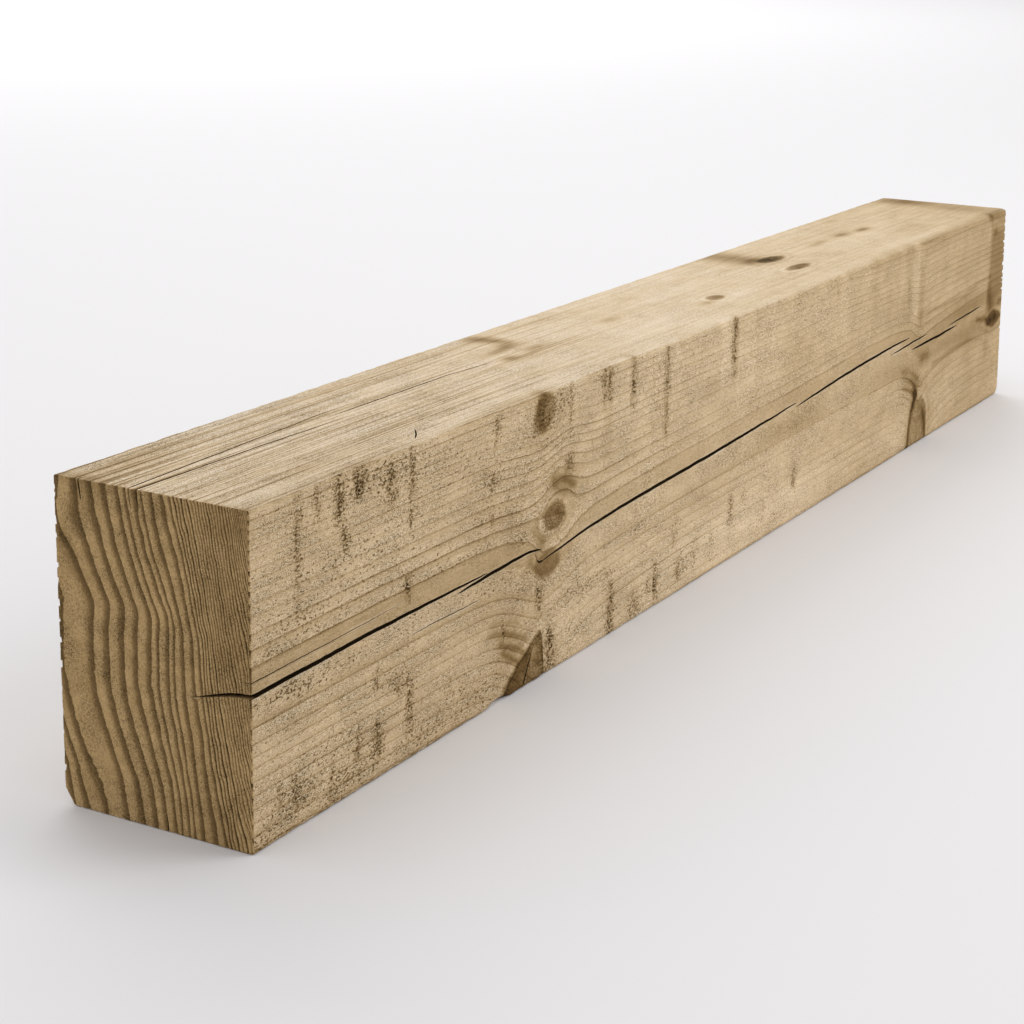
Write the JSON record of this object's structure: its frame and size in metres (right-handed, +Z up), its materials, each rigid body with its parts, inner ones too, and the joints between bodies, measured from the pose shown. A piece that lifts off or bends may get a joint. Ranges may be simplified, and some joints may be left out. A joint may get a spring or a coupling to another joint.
{
  "type": "pressure-treated sawn timber",
  "caption": "Rough-sawn, pressure-treated softwood timber of rectangular section, standing on a narrow face, with knots and a long stepped drying check in one wide face.",
  "frame": {"origin": "the middle of the narrow face that the timber stands on", "axes": "+X along the length, away from the end where the drying check opens; +Y across the section, away from the wide face with the check; +Z up"},
  "size_m": [1, 0.102, 0.15],
  "materials": {
    "treated_softwood": "rough sawn and matt, dry, with a faint olive tint from the preservative"
  },
  "bodies": {
    "root": {"timber": "treated_softwood"}
  },
  "joints": []
}
